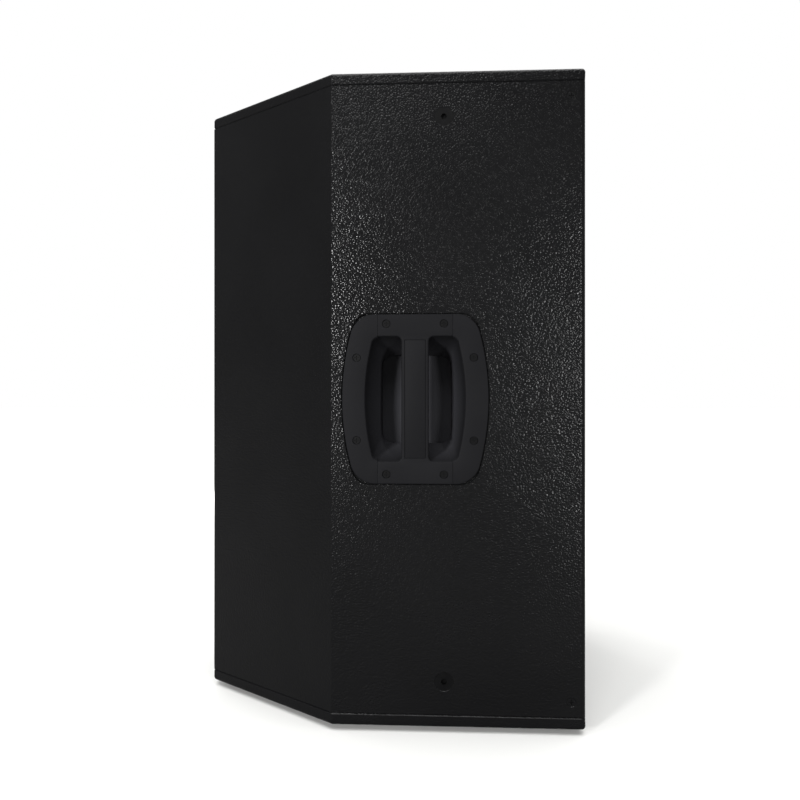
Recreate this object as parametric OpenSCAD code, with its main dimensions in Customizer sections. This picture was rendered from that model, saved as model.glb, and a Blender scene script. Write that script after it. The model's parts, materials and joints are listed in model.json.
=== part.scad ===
// Two-way PA speaker cabinet: trapezoid plan, flush bar handles, fly points and pole socket.
// The front faces -Y, +Z is up, and the origin is under the middle of the cabinet, where its feet rest.

/* [Cabinet] */
// Width across the front
cab_w = 440; // [430:1:470]
// Height of the wooden box, without its feet
cab_h = 704; // [690:1:740]
// Depth from the front edge to the rear panel
cab_d = 438; // [425:1:460]
// Length of the straight part of each side
side_len = 272; // [268:1:285]
// Width of the rear panel
rear_w = 180; // [172:1:200]
// Thickness of the plywood
ply = 15; // [15:0.5:16]
// Part of the top and bottom panels' thickness that shows from the side
panel_show = 13; // [11:0.5:14]
// Radius of the top and bottom edges
edge_r = 4; // [3:0.5:6]
// Radius of the front corners
front_r = 6; // [4:0.5:7]
// Size of the V groove at each panel seam
groove = 1.1; // [0.8:0.1:1.3]

/* [Feet] */
// Height of the feet
foot_h = 6; // [6:1:14]
// Diameter of the feet
foot_d = 38; // [30:1:42]

/* [Handles] */
// Distance from the front edge to the handle's middle
handle_back = 181.5; // [176:0.5:184]
// Width of the handle's flange
handle_w = 158; // [150:1:160]
// Height of the handle's flange
handle_h = 183; // [180:1:188]
// Width of the bar
bar_w = 29.4; // [26:0.2:31]
// Depth of the handle's dish
dish_deep = 55; // [48:1:60]

/* [Fly points] */
// Distance from the front edge to the side fly points
fly_back = 150.5; // [140:0.5:156]
// Distance from the box's top and bottom to the side fly points
fly_in = 49; // [44:1:60]

/* [Front] */
// Distance from the front edge to the battens that carry the grille
batten_back = 6; // [6:0.5:7]
// Depth of the battens
batten_deep = 18; // [18:1:20]
// Width of the battens
batten_w = 20; // [18:1:22]
// Thickness of the baffle
baffle_t = 18; // [18:1:21]

/* [Woofer] */
// Diameter of the woofer's frame
woofer_d = 388; // [386:1:390]
// Height of the woofer's axis above the bottom panel's inner face
woofer_up = 206; // [204:1:212]
// Diameter of the magnet
magnet_d = 190; // [180:1:200]

/* [Horn] */
// Width of the horn's flange
horn_w = 260; // [250:1:270]
// Height of the horn's flange
horn_h = 170; // [160:1:174]
// Depth from the horn's flange to its throat
horn_deep = 125; // [110:1:135]

/* [Ports] */
// Inner diameter of each port tube
port_d = 80; // [72:1:84]
// Length of each port tube
port_len = 95; // [70:1:120]

/* [Hidden] */
fine = 96;
eps = 0.01;

// Main planes of the box
front_y = -cab_d / 2;
rear_y = cab_d / 2;
bend_y = front_y + side_len;
box_z0 = foot_h;
box_z1 = foot_h + cab_h;
wall_z0 = box_z0 + panel_show;
wall_z1 = box_z1 - panel_show;
inner_z0 = box_z0 + ply;
inner_z1 = box_z1 - ply;
inner_w = cab_w - 2 * ply;
chamfer_a = atan((cab_w - rear_w) / 2 / (cab_d - side_len));
soft_r = 1.5;

// The box's plan with each side moved in by t: left half from front to rear, then the right half
function half_plan(t) = [
    [-cab_w / 2 + t, front_y + t],
    [-cab_w / 2 + t, bend_y - t * tan(chamfer_a / 2)],
    [-rear_w / 2 + t * tan((90 - chamfer_a) / 2), rear_y - t]
];
function plan(t) = concat(half_plan(t), [for (i = [2:-1:0]) [-half_plan(t)[i].x, half_plan(t)[i].y]]);
outer = half_plan(0);
inner = half_plan(ply);

// Battens and their painted-over screws
batten_y = front_y + batten_back;
baffle_y = batten_y + batten_deep;
batten_screw_y = front_y + 15.3;
batten_screw_z = [for (i = [0:3]) box_z0 + 29.7 + i * (cab_h - 59.4) / 3];
batten_screw_len = 22;
batten_bore_r = 2.15;
batten_head_r = 4.6;
batten_head_sink = 0.5;

// Grille tray
grille_back = 3;
grille_t = 1.5;
grille_gap = 1;
grille_screw_x = inner_w / 2 - 10;
grille_screw_z = [inner_z0 + 45, (inner_z0 + inner_z1) / 2, inner_z1 - 45];
grille_screw_r = 2.5;
foam_t = 3.5;

// Woofer, measured back from its flange's front
flange_t = 7;
woofer_z = inner_z0 + woofer_up;
woofer_y = baffle_y - flange_t;
rim_r = 170;
cut_r = 176.5;
coil_r = 38;
cone_r = 150;
cone_s = 3;
neck_s = 78;
cap_r = 55;
ledge_r = 92;
ledge_s = 88;
plate_s = 104;
plate_t = 10;
magnet_t = 25;
yoke_s = plate_s + plate_t + magnet_t;
woofer_screw_r = 3;
woofer_pcr = 186;

// Horn, ports and compression driver
horn_z = inner_z1 - batten_w - horn_h / 2 - 10;
horn_y = baffle_y - 5;
throat_y = horn_y + horn_deep;
throat_r = 12.7;
horn_waist_w = 110;
horn_waist_h = 58;
horn_lip = 15;
horn_screw_r = 2.5;
port_x = 138;
port_z = woofer_z + 208;
port_wall = 3;
port_lip = 47;
driver_r = 45;

// Rear plate and sockets
plate_w = 120;
plate_h = 80;
plate_z = box_z0 + 150;
plate_sink = 6;
plate_metal = 2;
socket_x = 28;
socket_r = 12;

// Crossover
board_w = 130;
board_h = 200;
board_t = 1.6;
board_y = rear_y - ply - 12;
board_z = plate_z + 190;

// Handle: outline arcs, slots and screws
handle_y = front_y + handle_back;
handle_z = box_z0 + cab_h / 2;
flange_arc = 280;
flange_corner = 20;
flange_thick = 4;
well_w = 108.6;
well_h = 134;
well_arc = 250;
floor_w = 76;
floor_h = 96;
dish_wall = 3;
tab_w = 81;
tab_t = 2.5;
bar_t = 18;
bar_edge = 3;
bar_fillet = 5;
insert_w = 22;
insert_h = 127;
handle_screws_at = [for (a = [-1, 1], b = [-1, 1]) each [[a * 63, b * 44.5], [a * 31, b * 81]]];
handle_head_r = 3.9;
handle_head_t = 1.1;
handle_seat = 2;
handle_recess_r = 4.5;

// Fly points, pole socket and feet
fly_y = front_y + fly_back;
fly_z = [box_z0 + fly_in, box_z1 - fly_in];
fly_head_r = 10;
fly_r = 5;
pull_thread_r = 4.25;
insert_plate = 40;
insert_t = 6;
pole_r = 17.75;
pole_wall = 3;
pole_deep = 80;
pole_y = 5;
pole_flange_r = 52;
pole_flange_t = 3;
pole_screw_pcr = 42;
foot_x = cab_w / 2 - 62;
foot_front = front_y + 62;
foot_rear = rear_y - 48;
foot_rear_x = 58;
foot_recess = 4.5;
feet_at = [[-foot_x, foot_front], [foot_x, foot_front], [-foot_rear_x, foot_rear], [foot_rear_x, foot_rear]];

// Wire routes, from the sockets to the board and from the board to the two drivers
wire_r = 2.2;
input_route = [[24, 182, 166], [24, 176, 190], [26, 178, 215], [28, 186, 238]];
woofer_route = [[-30, 186, 262], [-30, 165, 262], [-34, 120, 280], [-30, 60, 330], [-20, -20, 358],
    [-8, -80, 356], [0, -102, 346]];
horn_route = [[30, 186, 420], [30, 165, 424], [28, 120, 450], [22, 70, 500], [12, 30, 545], [0, 4, 560],
    [0, -10, 566]];

// A smooth curve through the route's points, and a tube of eight sides along it
function blend(a, b, c, d, t) = 0.5 * (2 * b + (c - a) * t + (2 * a - 5 * b + 4 * c - d) * t * t
    + (3 * b - a - 3 * c + d) * t * t * t);
function smooth(p, n = 4) = concat([for (i = [0:len(p) - 2], k = [0:n - 1])
    blend(p[max(i - 1, 0)], p[i], p[i + 1], p[min(i + 2, len(p) - 1)], k / n)], [p[len(p) - 1]]);
function unit(v) = v / norm(v);
function heading(p, i) = unit(p[min(i + 1, len(p) - 1)] - p[max(i - 1, 0)]);

module tube(route, r, sides = 8) {
    p = smooth(route);
    n = len(p);
    rings = [for (i = [0:n - 1])
        let (u = unit(cross(heading(p, i), [1, 0.1, 0])), v = cross(heading(p, i), u))
        for (k = [0:sides - 1]) p[i] + r * (cos(360 * k / sides) * u + sin(360 * k / sides) * v)];
    walls = [for (i = [0:n - 2], k = [0:sides - 1]) let (m = (k + 1) % sides)
        [i * sides + k, (i + 1) * sides + k, (i + 1) * sides + m, i * sides + m]];
    ends = [[for (k = [0:sides - 1]) k], [for (k = [sides - 1:-1:0]) (n - 1) * sides + k]];
    polyhedron(rings, concat(walls, ends));
}

// Frames in which the repeated shapes are drawn
module right_side() {
    translate([cab_w / 2, 0, 0]) rotate([90, 0, 90]) children();
}

module at_handle() {
    translate([cab_w / 2, handle_y, handle_z]) rotate([90, 0, 90]) children();
}

module along_driver(y, z) {
    translate([0, y, z]) rotate([-90, 0, 0]) children();
}

module into_rear(x, z) {
    translate([x, rear_y, z]) rotate([90, 0, 0]) children();
}

module ring(outer_r, inner_r, s0, s1) {
    translate([0, 0, s0]) difference() {
        cylinder(r = outer_r, h = s1 - s0, $fn = fine);
        translate([0, 0, -1]) cylinder(r = inner_r, h = s1 - s0 + 2, $fn = fine);
    }
}

// A countersunk head and its shank, head up, with its top at z = 0
module countersunk(head_r, shank_r, length) {
    cone_h = head_r - shank_r;
    rotate_extrude($fn = fine)
        polygon([[0, 0], [head_r, 0], [shank_r, -cone_h], [shank_r, -length], [0, -length]]);
}

module cross_slot(size, depth) {
    for (a = [0, 90]) rotate(a) translate([-size / 2, -size / 10, -depth])
        cube([size, size / 5, depth + 1]);
}

module hex_slot(width, depth) {
    translate([0, 0, -depth]) cylinder(d = width / cos(30), h = depth + 1, $fn = 6);
}

// A V groove along the outer seam from point a to point b of the plan, at height z
module seam_cut(a, b, z) {
    d = b - a;
    translate([a.x, a.y, z]) rotate([0, 0, atan2(d.y, d.x)]) translate([-5, 0, 0]) rotate([90, 0, 90])
        linear_extrude(norm(d) + 10) rotate(45) square(groove * sqrt(2), center = true);
}

// Plywood

// Top or bottom panel: rounded outside edges, and a plug that fits down inside the walls
module lid() {
    p = plan(0);
    r = [front_r, soft_r, soft_r, soft_r, soft_r, front_r];
    steps = plan(edge_r);
    union() {
        hull() {
            for (i = [0:5]) {
                translate([steps[i].x, steps[i].y, panel_show - edge_r]) sphere(edge_r, $fn = 32);
                corner_post(i, r[i], 0, groove, panel_show - edge_r);
                corner_post(i, r[i], groove, 0, groove);
            }
        }
        translate([0, 0, panel_show - ply]) linear_extrude(ply - panel_show + 1)
            polygon([[inner[0].x, front_y + 1.5], inner[1], inner[2], [-inner[2].x, inner[2].y],
                [-inner[1].x, inner[1].y], [-inner[0].x, front_y + 1.5]]);
    }
}

module corner_post(i, r, inset, z0, z1) {
    c = plan(max(r, inset + 0.4))[i];
    translate([c.x, c.y, z0]) cylinder(r = max(r, inset + 0.4) - inset, h = z1 - z0, $fn = 32);
}

module top_panel() {
    color("#1d1d1e") translate([0, 0, wall_z1]) lid();
}

module bottom_panel() {
    color("#1d1d1e") difference() {
        translate([0, 0, wall_z0]) mirror([0, 0, 1]) lid();
        translate([0, pole_y, 0]) cylinder(r = pole_r + pole_wall + 0.5, h = inner_z0 + 1, $fn = fine);
        pole_screw_spots() translate([0, 0, box_z0 - 1]) cylinder(r = 2, h = 12, $fn = 24);
        foot_spots() translate([0, 0, box_z0 - 1]) cylinder(r = 2, h = 12, $fn = 24);
    }
}

module side_wall() {
    p = [for (v = [outer[0], outer[1], inner[1], [inner[0].x, front_y]]) [-v.x, v.y]];
    corner = [cab_w / 2 - front_r, front_y + front_r];
    difference() {
        translate([0, 0, wall_z0]) linear_extrude(wall_z1 - wall_z0) union() {
            difference() {
                polygon(p);
                translate([corner.x, front_y - 1]) square(front_r + 1);
            }
            translate(corner) circle(r = front_r, $fn = fine);
        }
        for (z = [wall_z0, wall_z1]) seam_cut([cab_w / 2, front_y], [cab_w / 2, bend_y], z);
        at_handle() {
            translate([0, 0, -flange_thick]) linear_extrude(flange_thick + 1) flange_shape(-0.8);
            translate([0, 0, -ply - 1]) linear_extrude(ply + 2) offset(r = dish_wall + 1) well_shape();
            for (s = handle_screws_at) translate([s.x, s.y, -ply]) cylinder(r = 2, h = ply, $fn = 24);
        }
        right_side() for (z = fly_z) translate([fly_y, z, 0]) {
            translate([0, 0, 0.3]) countersunk(fly_head_r + 0.7, fly_r + 0.2, ply + 2);
        }
        right_side() for (z = batten_screw_z) translate([batten_screw_y, z, 0]) {
            translate([0, 0, 0.1]) countersunk(batten_head_r + 0.75, batten_bore_r, ply + 2);
        }
    }
}

module left_side_panel() {
    color("#1f1f20") mirror([1, 0, 0]) side_wall();
}

module right_side_panel() {
    color("#1f1f20") side_wall();
}

module chamfer_wall() {
    p = [for (v = [outer[1], outer[2], inner[2], inner[1]]) [-v.x, v.y]];
    difference() {
        translate([0, 0, wall_z0]) linear_extrude(wall_z1 - wall_z0) polygon(p);
        for (z = [wall_z0, wall_z1]) seam_cut(p[1], p[0], z);
    }
}

module left_chamfer_panel() {
    color("#1b1b1c") mirror([1, 0, 0]) chamfer_wall();
}

module right_chamfer_panel() {
    color("#1b1b1c") chamfer_wall();
}

module rear_panel() {
    w = rear_w / 2;
    p = [outer[2], [w, rear_y], [-inner[2].x, inner[2].y], inner[2]];
    color("#1b1b1c") difference() {
        translate([0, 0, wall_z0]) linear_extrude(wall_z1 - wall_z0) polygon(p);
        for (z = [wall_z0, wall_z1]) seam_cut([w, rear_y], [-w, rear_y], z);
        into_rear(0, plate_z) {
            translate([-plate_w / 2 - 0.5, -plate_h / 2 - 0.5, -1])
                cube([plate_w + 1, plate_h + 1, plate_sink + 1]);
            translate([-plate_w / 2 + 10, -plate_h / 2 + 10, 0])
                cube([plate_w - 20, plate_h - 20, ply + 1]);
            plate_screw_spots() translate([0, 0, plate_sink - 1]) cylinder(r = 1.5, h = ply, $fn = 24);
        }
        into_rear(0, fly_z[1]) translate([0, 0, -1]) cylinder(r = fly_r + 0.5, h = ply + 2, $fn = fine);
    }
}

module front_baffle() {
    color("#8d7350") difference() {
        translate([-inner_w / 2, baffle_y, inner_z0]) cube([inner_w, baffle_t, inner_z1 - inner_z0]);
        along_driver(baffle_y, woofer_z) {
            translate([0, 0, -1]) cylinder(r = cut_r, h = baffle_t + 2, $fn = fine);
            woofer_screw_spots() translate([0, 0, -1])
                cylinder(r = woofer_screw_r, h = baffle_t + 2, $fn = 24);
        }
        translate([-horn_w / 2 + 11, baffle_y - 1, horn_z - horn_h / 2 + 11])
            cube([horn_w - 22, baffle_t + 2, horn_h - 22]);
        for (s = [-1, 1]) translate([s * port_x, baffle_y - 1, port_z]) rotate([-90, 0, 0])
            cylinder(r = port_d / 2 + port_wall, h = baffle_t + 2, $fn = fine);
        horn_screw_spots() cylinder(r = horn_screw_r - 0.5, h = baffle_t, $fn = 24);
    }
}

module front_battens() {
    color("#a08660") difference() {
        translate([-inner_w / 2, batten_y, inner_z0]) cube([inner_w, batten_deep, inner_z1 - inner_z0]);
        translate([-inner_w / 2 + batten_w, batten_y - 1, inner_z0 + batten_w])
            cube([inner_w - 2 * batten_w, batten_deep + 2, inner_z1 - inner_z0 - 2 * batten_w]);
        along_driver(batten_y - 1, woofer_z)
            cylinder(r = woofer_d / 2 + 3, h = batten_deep + 2, $fn = fine);
        for (s = [0, 1]) mirror([s, 0, 0]) right_side() for (z = batten_screw_z)
            translate([batten_screw_y, z, -batten_screw_len])
                cylinder(r = batten_bore_r, h = batten_screw_len, $fn = 24);
        grille_screw_spots() cylinder(r = grille_screw_r, h = 14, $fn = 24);
    }
}

module batten_screws() {
    color("#3a3a3c") for (s = [0, 1]) mirror([s, 0, 0]) right_side() for (z = batten_screw_z)
        translate([batten_screw_y, z, -batten_head_sink]) difference() {
            countersunk(batten_head_r, 2, batten_screw_len - batten_head_sink);
            cross_slot(5, 1.5);
        }
}

module cross_brace() {
    color("#a08660") translate([-inner_w / 2, front_y + 190, woofer_z + 226]) cube([inner_w, 60, ply]);
}

// Grille

module grille_screw_spots() {
    for (x = [-1, 1] * grille_screw_x, z = grille_screw_z)
        translate([x, batten_y, z]) rotate([-90, 0, 0]) children();
}

module grille() {
    w = inner_w - 2 * grille_gap;
    h = inner_z1 - inner_z0 - 2 * grille_gap;
    sheet_y = front_y + grille_back;
    color("#161617") difference() {
        translate([-w / 2, sheet_y, inner_z0 + grille_gap]) cube([w, batten_back - grille_back, h]);
        translate([-w / 2 + grille_t, sheet_y + grille_t, inner_z0 + grille_gap + grille_t])
            cube([w - 2 * grille_t, batten_back, h - 2 * grille_t]);
        grille_screw_spots() translate([0, 0, -batten_back])
            cylinder(r = grille_screw_r + 0.2, h = 10, $fn = 24);
    }
}

module grille_foam() {
    y = front_y + grille_back + grille_t;
    w = inner_w - 2 * batten_w - 2;
    color("#101010") translate([-w / 2, y, inner_z0 + batten_w + 1])
        cube([w, foam_t, inner_z1 - inner_z0 - 2 * batten_w - 2]);
}

module grille_screws() {
    top = batten_back - grille_back;
    color("#2a2a2c") grille_screw_spots() difference() {
        union() {
            translate([0, 0, -top - 2.2]) cylinder(r = 5, h = 2.2, $fn = fine);
            translate([0, 0, -top]) cylinder(r = grille_screw_r, h = top + 14, $fn = 24);
        }
        translate([0, 0, -top - 2.2]) rotate([180, 0, 0]) cross_slot(5, 1.5);
    }
}

// Woofer

module woofer_screw_spots() {
    for (i = [0:7]) rotate(45 * i + 22.5) translate([woofer_pcr, 0, 0]) children();
}

module woofer_basket() {
    color("#2c2c2e") along_driver(woofer_y, woofer_z) difference() {
        rotate_extrude($fn = fine) polygon([[rim_r, 0], [woofer_d / 2, 0], [woofer_d / 2, flange_t],
            [cut_r - 1, flange_t], [cut_r - 1, 30], [ledge_r + 8, ledge_s], [ledge_r + 3, plate_s],
            [coil_r + 7, plate_s], [coil_r + 7, plate_s - 3], [ledge_r, plate_s - 3], [ledge_r, ledge_s],
            [rim_r, 28], [rim_r, 3]]);
        for (i = [0:5]) rotate(60 * i) translate([0, 0, 34]) linear_extrude(50)
            polygon([[ledge_r + 12, -35], [ledge_r + 12, 35], [rim_r + 8, 66], [rim_r + 8, -66]]);
        woofer_screw_spots() translate([0, 0, -1])
            cylinder(r = woofer_screw_r + 0.3, h = flange_t + 2, $fn = 24);
    }
}

module woofer_gasket() {
    color("#1a1a1a") along_driver(woofer_y, woofer_z) ring(180.5, rim_r, -3, -0.8);
}

module woofer_cone() {
    color("#202022") along_driver(woofer_y, woofer_z) rotate_extrude($fn = fine)
        polygon([[cone_r, cone_s], [coil_r + 0.5, neck_s], [coil_r + 0.5, neck_s + 1.6],
            [cone_r, cone_s + 1.6]]);
}

module dust_cap() {
    base_s = cone_s + (cone_r - cap_r) / (cone_r - coil_r) * (neck_s - cone_s);
    rise = 16;
    dome_r = (cap_r * cap_r + rise * rise) / (2 * rise);
    color("#1c1c1e") along_driver(woofer_y, woofer_z) rotate_extrude($fn = fine) difference() {
        translate([0, base_s - rise + dome_r]) circle(r = dome_r, $fn = fine);
        translate([0, base_s - rise + dome_r]) circle(r = dome_r - 0.8, $fn = fine);
        translate([-dome_r - 1, base_s - 0.4]) square(2 * dome_r + 2);
        translate([-dome_r - 1, base_s - rise - 1]) square([dome_r + 1, 2 * dome_r]);
    }
}

module voice_coil() {
    former = ring_profile(coil_r - 0.4, coil_r, neck_s - 6, plate_s + 16);
    winding = ring_profile(coil_r, coil_r + 1.6, plate_s - 3, plate_s + 13);
    color("#b06a35") along_driver(woofer_y, woofer_z) rotate_extrude($fn = fine) {
        polygon(former);
        polygon(winding);
    }
}

function ring_profile(r0, r1, s0, s1) = [[r0, s0], [r1, s0], [r1, s1], [r0, s1]];

module woofer_surround() {
    mid = (cone_r + rim_r) / 2;
    roll = (rim_r - cone_r) / 2 - 3;
    color("#151515") along_driver(woofer_y, woofer_z) rotate_extrude($fn = fine) {
        difference() {
            translate([mid, 0]) circle(r = roll, $fn = 48);
            translate([mid, 0]) circle(r = roll - 0.9, $fn = 48);
            translate([mid - 20, 0]) square(40);
        }
        translate([mid + roll - 0.9, -0.8]) square([180.5 - mid - roll + 0.9, 0.8]);
        polygon(ring_profile(mid - roll, mid - roll + 0.9, 0, cone_s));
        polygon(ring_profile(cone_r - 4, mid - roll + 0.9, cone_s - 0.9, cone_s));
    }
}

module woofer_spider() {
    pitch = 8;
    waves = floor((ledge_r - coil_r - 6) / pitch);
    top = [for (i = [0:waves]) [coil_r + 2 + i * pitch, ledge_s - 1 + (i % 2 == 0 ? 0 : 3.4)]];
    low = [for (i = [waves:-1:0]) [top[i].x, top[i].y - 0.8]];
    edge = [[ledge_r - 0.3, ledge_s - 1], [ledge_r - 0.3, ledge_s - 1.8]];
    color("#b58a3c") along_driver(woofer_y, woofer_z) rotate_extrude($fn = fine)
        polygon(concat([[coil_r + 0.3, ledge_s - 1]], top, edge, low, [[coil_r + 0.3, ledge_s - 1.8]]));
}

module woofer_top_plate() {
    color("#8a8c90") along_driver(woofer_y, woofer_z)
        ring(magnet_d / 2 - 5, coil_r + 2.3, plate_s, plate_s + plate_t);
}

module woofer_magnet() {
    color("#3b3b3d") along_driver(woofer_y, woofer_z)
        ring(magnet_d / 2, coil_r + 12, plate_s + plate_t, yoke_s);
}

module woofer_yoke() {
    rim = magnet_d / 2 - 5;
    color("#8a8c90") along_driver(woofer_y, woofer_z) rotate_extrude($fn = fine)
        polygon([[10, plate_s], [coil_r - 1, plate_s], [coil_r - 1, yoke_s], [rim - 2, yoke_s],
            [rim, yoke_s + 2], [rim, yoke_s + plate_t], [10, yoke_s + plate_t]]);
}

module woofer_terminals() {
    z = woofer_z + ledge_r + 8.3;
    color("#b6262a") for (x = [-14, 4]) translate([x, woofer_y + ledge_s + 1, z + 2.5])
        cube([10, 12, 10]);
    color("#1a1a1a") translate([-18, woofer_y + ledge_s + 1, z]) cube([36, 14, 2.5]);
}

module woofer_screws() {
    color("#1d1d1f") along_driver(woofer_y, woofer_z) woofer_screw_spots() difference() {
        translate([0, 0, -5]) {
            cylinder(r = 4.9, h = 5, $fn = fine);
            cylinder(r = woofer_screw_r, h = 5 + flange_t + baffle_t, $fn = 24);
        }
        translate([0, 0, -5]) mirror([0, 0, 1]) hex_slot(5, 3);
    }
}

// Horn and compression driver

module horn_screw_spots() {
    for (x = [-1, 0, 1], z = [-1, 1])
        translate([x * (horn_w / 2 - 7), baffle_y, horn_z + z * (horn_h / 2 - 5.5)]) rotate([-90, 0, 0])
            children();
}

// The horn's inside, or its outside with a wall of thickness t
module horn_funnel(t) {
    hull() {
        translate([-horn_w / 2 + horn_lip - t, horn_y, horn_z - horn_h / 2 + horn_lip - t])
            cube([horn_w - 2 * horn_lip + 2 * t, eps, horn_h - 2 * horn_lip + 2 * t]);
        horn_waist(t);
    }
    hull() {
        horn_waist(t);
        translate([0, throat_y - 6, horn_z]) rotate([-90, 0, 0])
            cylinder(r = throat_r + t, h = eps, $fn = 32);
    }
}

module horn_waist(t) {
    translate([0, horn_y + horn_deep * 0.55, horn_z])
        cube([horn_waist_w + 2 * t, eps, horn_waist_h + 2 * t], center = true);
}

module horn_flare() {
    color("#1a1a1b") difference() {
        union() {
            translate([-horn_w / 2, horn_y, horn_z - horn_h / 2]) cube([horn_w, 5, horn_h]);
            horn_funnel(3);
            translate([0, throat_y - 8, horn_z]) rotate([-90, 0, 0]) cylinder(r = 38, h = 8, $fn = fine);
        }
        horn_funnel(0);
        translate([0, horn_y - 1, horn_z]) rotate([-90, 0, 0])
            cylinder(r = throat_r, h = horn_deep + 2, $fn = fine);
        translate([-horn_w / 2 + horn_lip, horn_y - 1, horn_z - horn_h / 2 + horn_lip])
            cube([horn_w - 2 * horn_lip, 1 + eps, horn_h - 2 * horn_lip]);
        horn_screw_spots() translate([0, 0, -6]) cylinder(r = horn_screw_r, h = 7, $fn = 24);
    }
}

module horn_screws() {
    color("#1d1d1f") horn_screw_spots() difference() {
        union() {
            translate([0, 0, -8]) cylinder(r = 4.5, h = 3, $fn = fine);
            translate([0, 0, -5]) cylinder(r = horn_screw_r - 0.5, h = 5 + baffle_t - 2, $fn = 24);
        }
        translate([0, 0, -8]) rotate([180, 0, 0]) cross_slot(5, 1.8);
    }
}

// Front plate with the pole that carries on its bore
module driver_front_plate() {
    color("#9a9ca0") along_driver(throat_y, horn_z) rotate_extrude($fn = fine)
        polygon([[throat_r, 0], [driver_r - 2, 0], [driver_r - 2, 8], [21.3, 8], [21.3, 26],
            [throat_r + 4, 26], [throat_r, 8]]);
}

module driver_magnet() {
    color("#3b3b3d") along_driver(throat_y, horn_z) ring(driver_r, 27, 8, 22);
}

module driver_gap_plate() {
    color("#9a9ca0") along_driver(throat_y, horn_z) ring(driver_r - 2, 23, 22, 27);
}

// Titanium dome with its coil
module driver_diaphragm() {
    rise = 7.5;
    dome_r = (22.3 * 22.3 + rise * rise) / (2 * rise);
    color("#c9cbd0") along_driver(throat_y, horn_z) rotate_extrude($fn = fine) {
        polygon(ring_profile(21.8, 22.5, 21, 28.5));
        difference() {
            translate([0, 28.5 + rise - dome_r]) circle(r = dome_r, $fn = fine);
            translate([0, 28.5 + rise - dome_r]) circle(r = dome_r - 0.4, $fn = fine);
            translate([-50, 28.4 - 100]) square(100);
            translate([-100, -50]) square([100, 100]);
            translate([22.5, -50]) square(100);
        }
    }
}

module driver_suspension() {
    rim = driver_r - 5.3;
    color("#c8a35a") along_driver(throat_y, horn_z) rotate_extrude($fn = fine)
        polygon([[22.7, 28], [32, 28], [32, 27], [rim, 27], [rim, 29.9], [32, 29.9], [32, 28.4],
            [22.7, 28.4]]);
}

module driver_rear_cover() {
    color("#2a2a2c") along_driver(throat_y, horn_z) rotate_extrude($fn = fine)
        polygon([[driver_r - 5, 30], [driver_r - 5, 27], [driver_r - 2, 27], [driver_r - 2, 44],
            [driver_r - 6, 48], [0, 48], [0, 45.5], [driver_r - 9, 45.5], [driver_r - 9, 30]]);
}

module port_tubes() {
    color("#1a1a1b") for (s = [-1, 1]) translate([s * port_x, baffle_y, port_z]) rotate([-90, 0, 0])
        rotate_extrude($fn = fine) polygon([[port_d / 2 + 5, -3], [port_lip, -1.5], [port_lip, 0],
            [port_d / 2 + port_wall, 0], [port_d / 2 + port_wall, port_len - 3], [port_d / 2, port_len - 3],
            [port_d / 2, 4], [port_d / 2 + 1.5, -1]]);
}

// Crossover

module crossover_board() {
    color("#2f5a3c") difference() {
        translate([-board_w / 2, board_y, board_z - board_h / 2]) cube([board_w, board_t, board_h]);
        board_corners() translate([0, 0, -1]) cylinder(r = 2.2, h = 5, $fn = 24);
    }
    color("#d8d8d8") board_corners() ring(4.5, 2.2, board_t, 12);
}

module board_corners() {
    for (x = [-1, 1] * (board_w / 2 - 8), z = [-1, 1] * (board_h / 2 - 8))
        translate([x, board_y, board_z + z]) rotate([-90, 0, 0]) children();
}

module from_board(x, z) {
    translate([x, board_y, board_z + z]) rotate([90, 0, 0]) children();
}

module crossover_coils() {
    color("#a5602c") {
        from_board(-28, 58) ring(24, 9, 0, 22);
        from_board(30, 52) rotate([0, 90, 0]) translate([-20, 0, -11]) ring(18, 7, 0, 20);
        from_board(-28, -2) ring(19, 8, 0, 18);
    }
}

module crossover_capacitors() {
    color("#d9b23c") for (i = [0:3]) from_board(10 + 15 * (i % 2), 5 - 17 * floor(i / 2))
        translate([0, 10, 7.5]) rotate([90, 0, 0]) cylinder(r = 6.5, h = 14, $fn = 32);
}

module crossover_resistors() {
    color("#e3e0d6") for (i = [0:2]) from_board(-50 + 14 * i, -48) translate([0, -22, 0]) cube([9, 44, 9]);
}

// Rear connections

module plate_screw_spots() {
    for (x = [-1, 1] * (plate_w / 2 - 5), z = [-1, 1] * (plate_h / 2 - 5)) translate([x, z, 0]) children();
}

module connector_plate() {
    color("#232325") into_rear(0, plate_z) translate([0, 0, plate_sink - plate_metal]) difference() {
        translate([-plate_w / 2, -plate_h / 2, 0]) cube([plate_w, plate_h, plate_metal]);
        for (x = [-1, 1] * socket_x) translate([x, 0, -1]) cylinder(r = socket_r, h = 4, $fn = fine);
        plate_screw_spots() translate([0, 0, -1]) cylinder(r = 2, h = 4, $fn = 24);
    }
}

module speaker_sockets() {
    face = plate_sink - plate_metal - 2.5;
    color("#1b2433") for (x = [-1, 1] * socket_x) into_rear(x, plate_z) translate([0, 0, face]) difference() {
        union() {
            translate([-13, -15.5, 0]) cube([26, 31, 2.5]);
            cylinder(r = socket_r - 0.1, h = 26, $fn = fine);
        }
        difference() {
            translate([0, 0, -1]) cylinder(r = 10.5, h = 20, $fn = fine);
            translate([0, 0, 2]) cylinder(r = 5, h = 20, $fn = fine);
        }
        for (a = [-1, 1]) translate([a * 9.5, -a * 12, -1]) cylinder(r = 1.6, h = 5, $fn = 24);
    }
}

module plate_screws() {
    top = plate_sink - plate_metal;
    color("#2a2a2c") into_rear(0, plate_z) plate_screw_spots() difference() {
        union() {
            translate([0, 0, top - 1.8]) cylinder(r = 3.2, h = 1.8, $fn = fine);
            translate([0, 0, top]) cylinder(r = 1.5, h = 9, $fn = 24);
        }
        translate([0, 0, top - 1.8]) rotate([180, 0, 0]) cross_slot(3.6, 1.1);
    }
}

module internal_wiring() {
    color("#a02020") tube(input_route, wire_r);
    color("#20407a") tube(woofer_route, wire_r);
    color("#303030") tube(horn_route, wire_r);
}

// Damping

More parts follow.
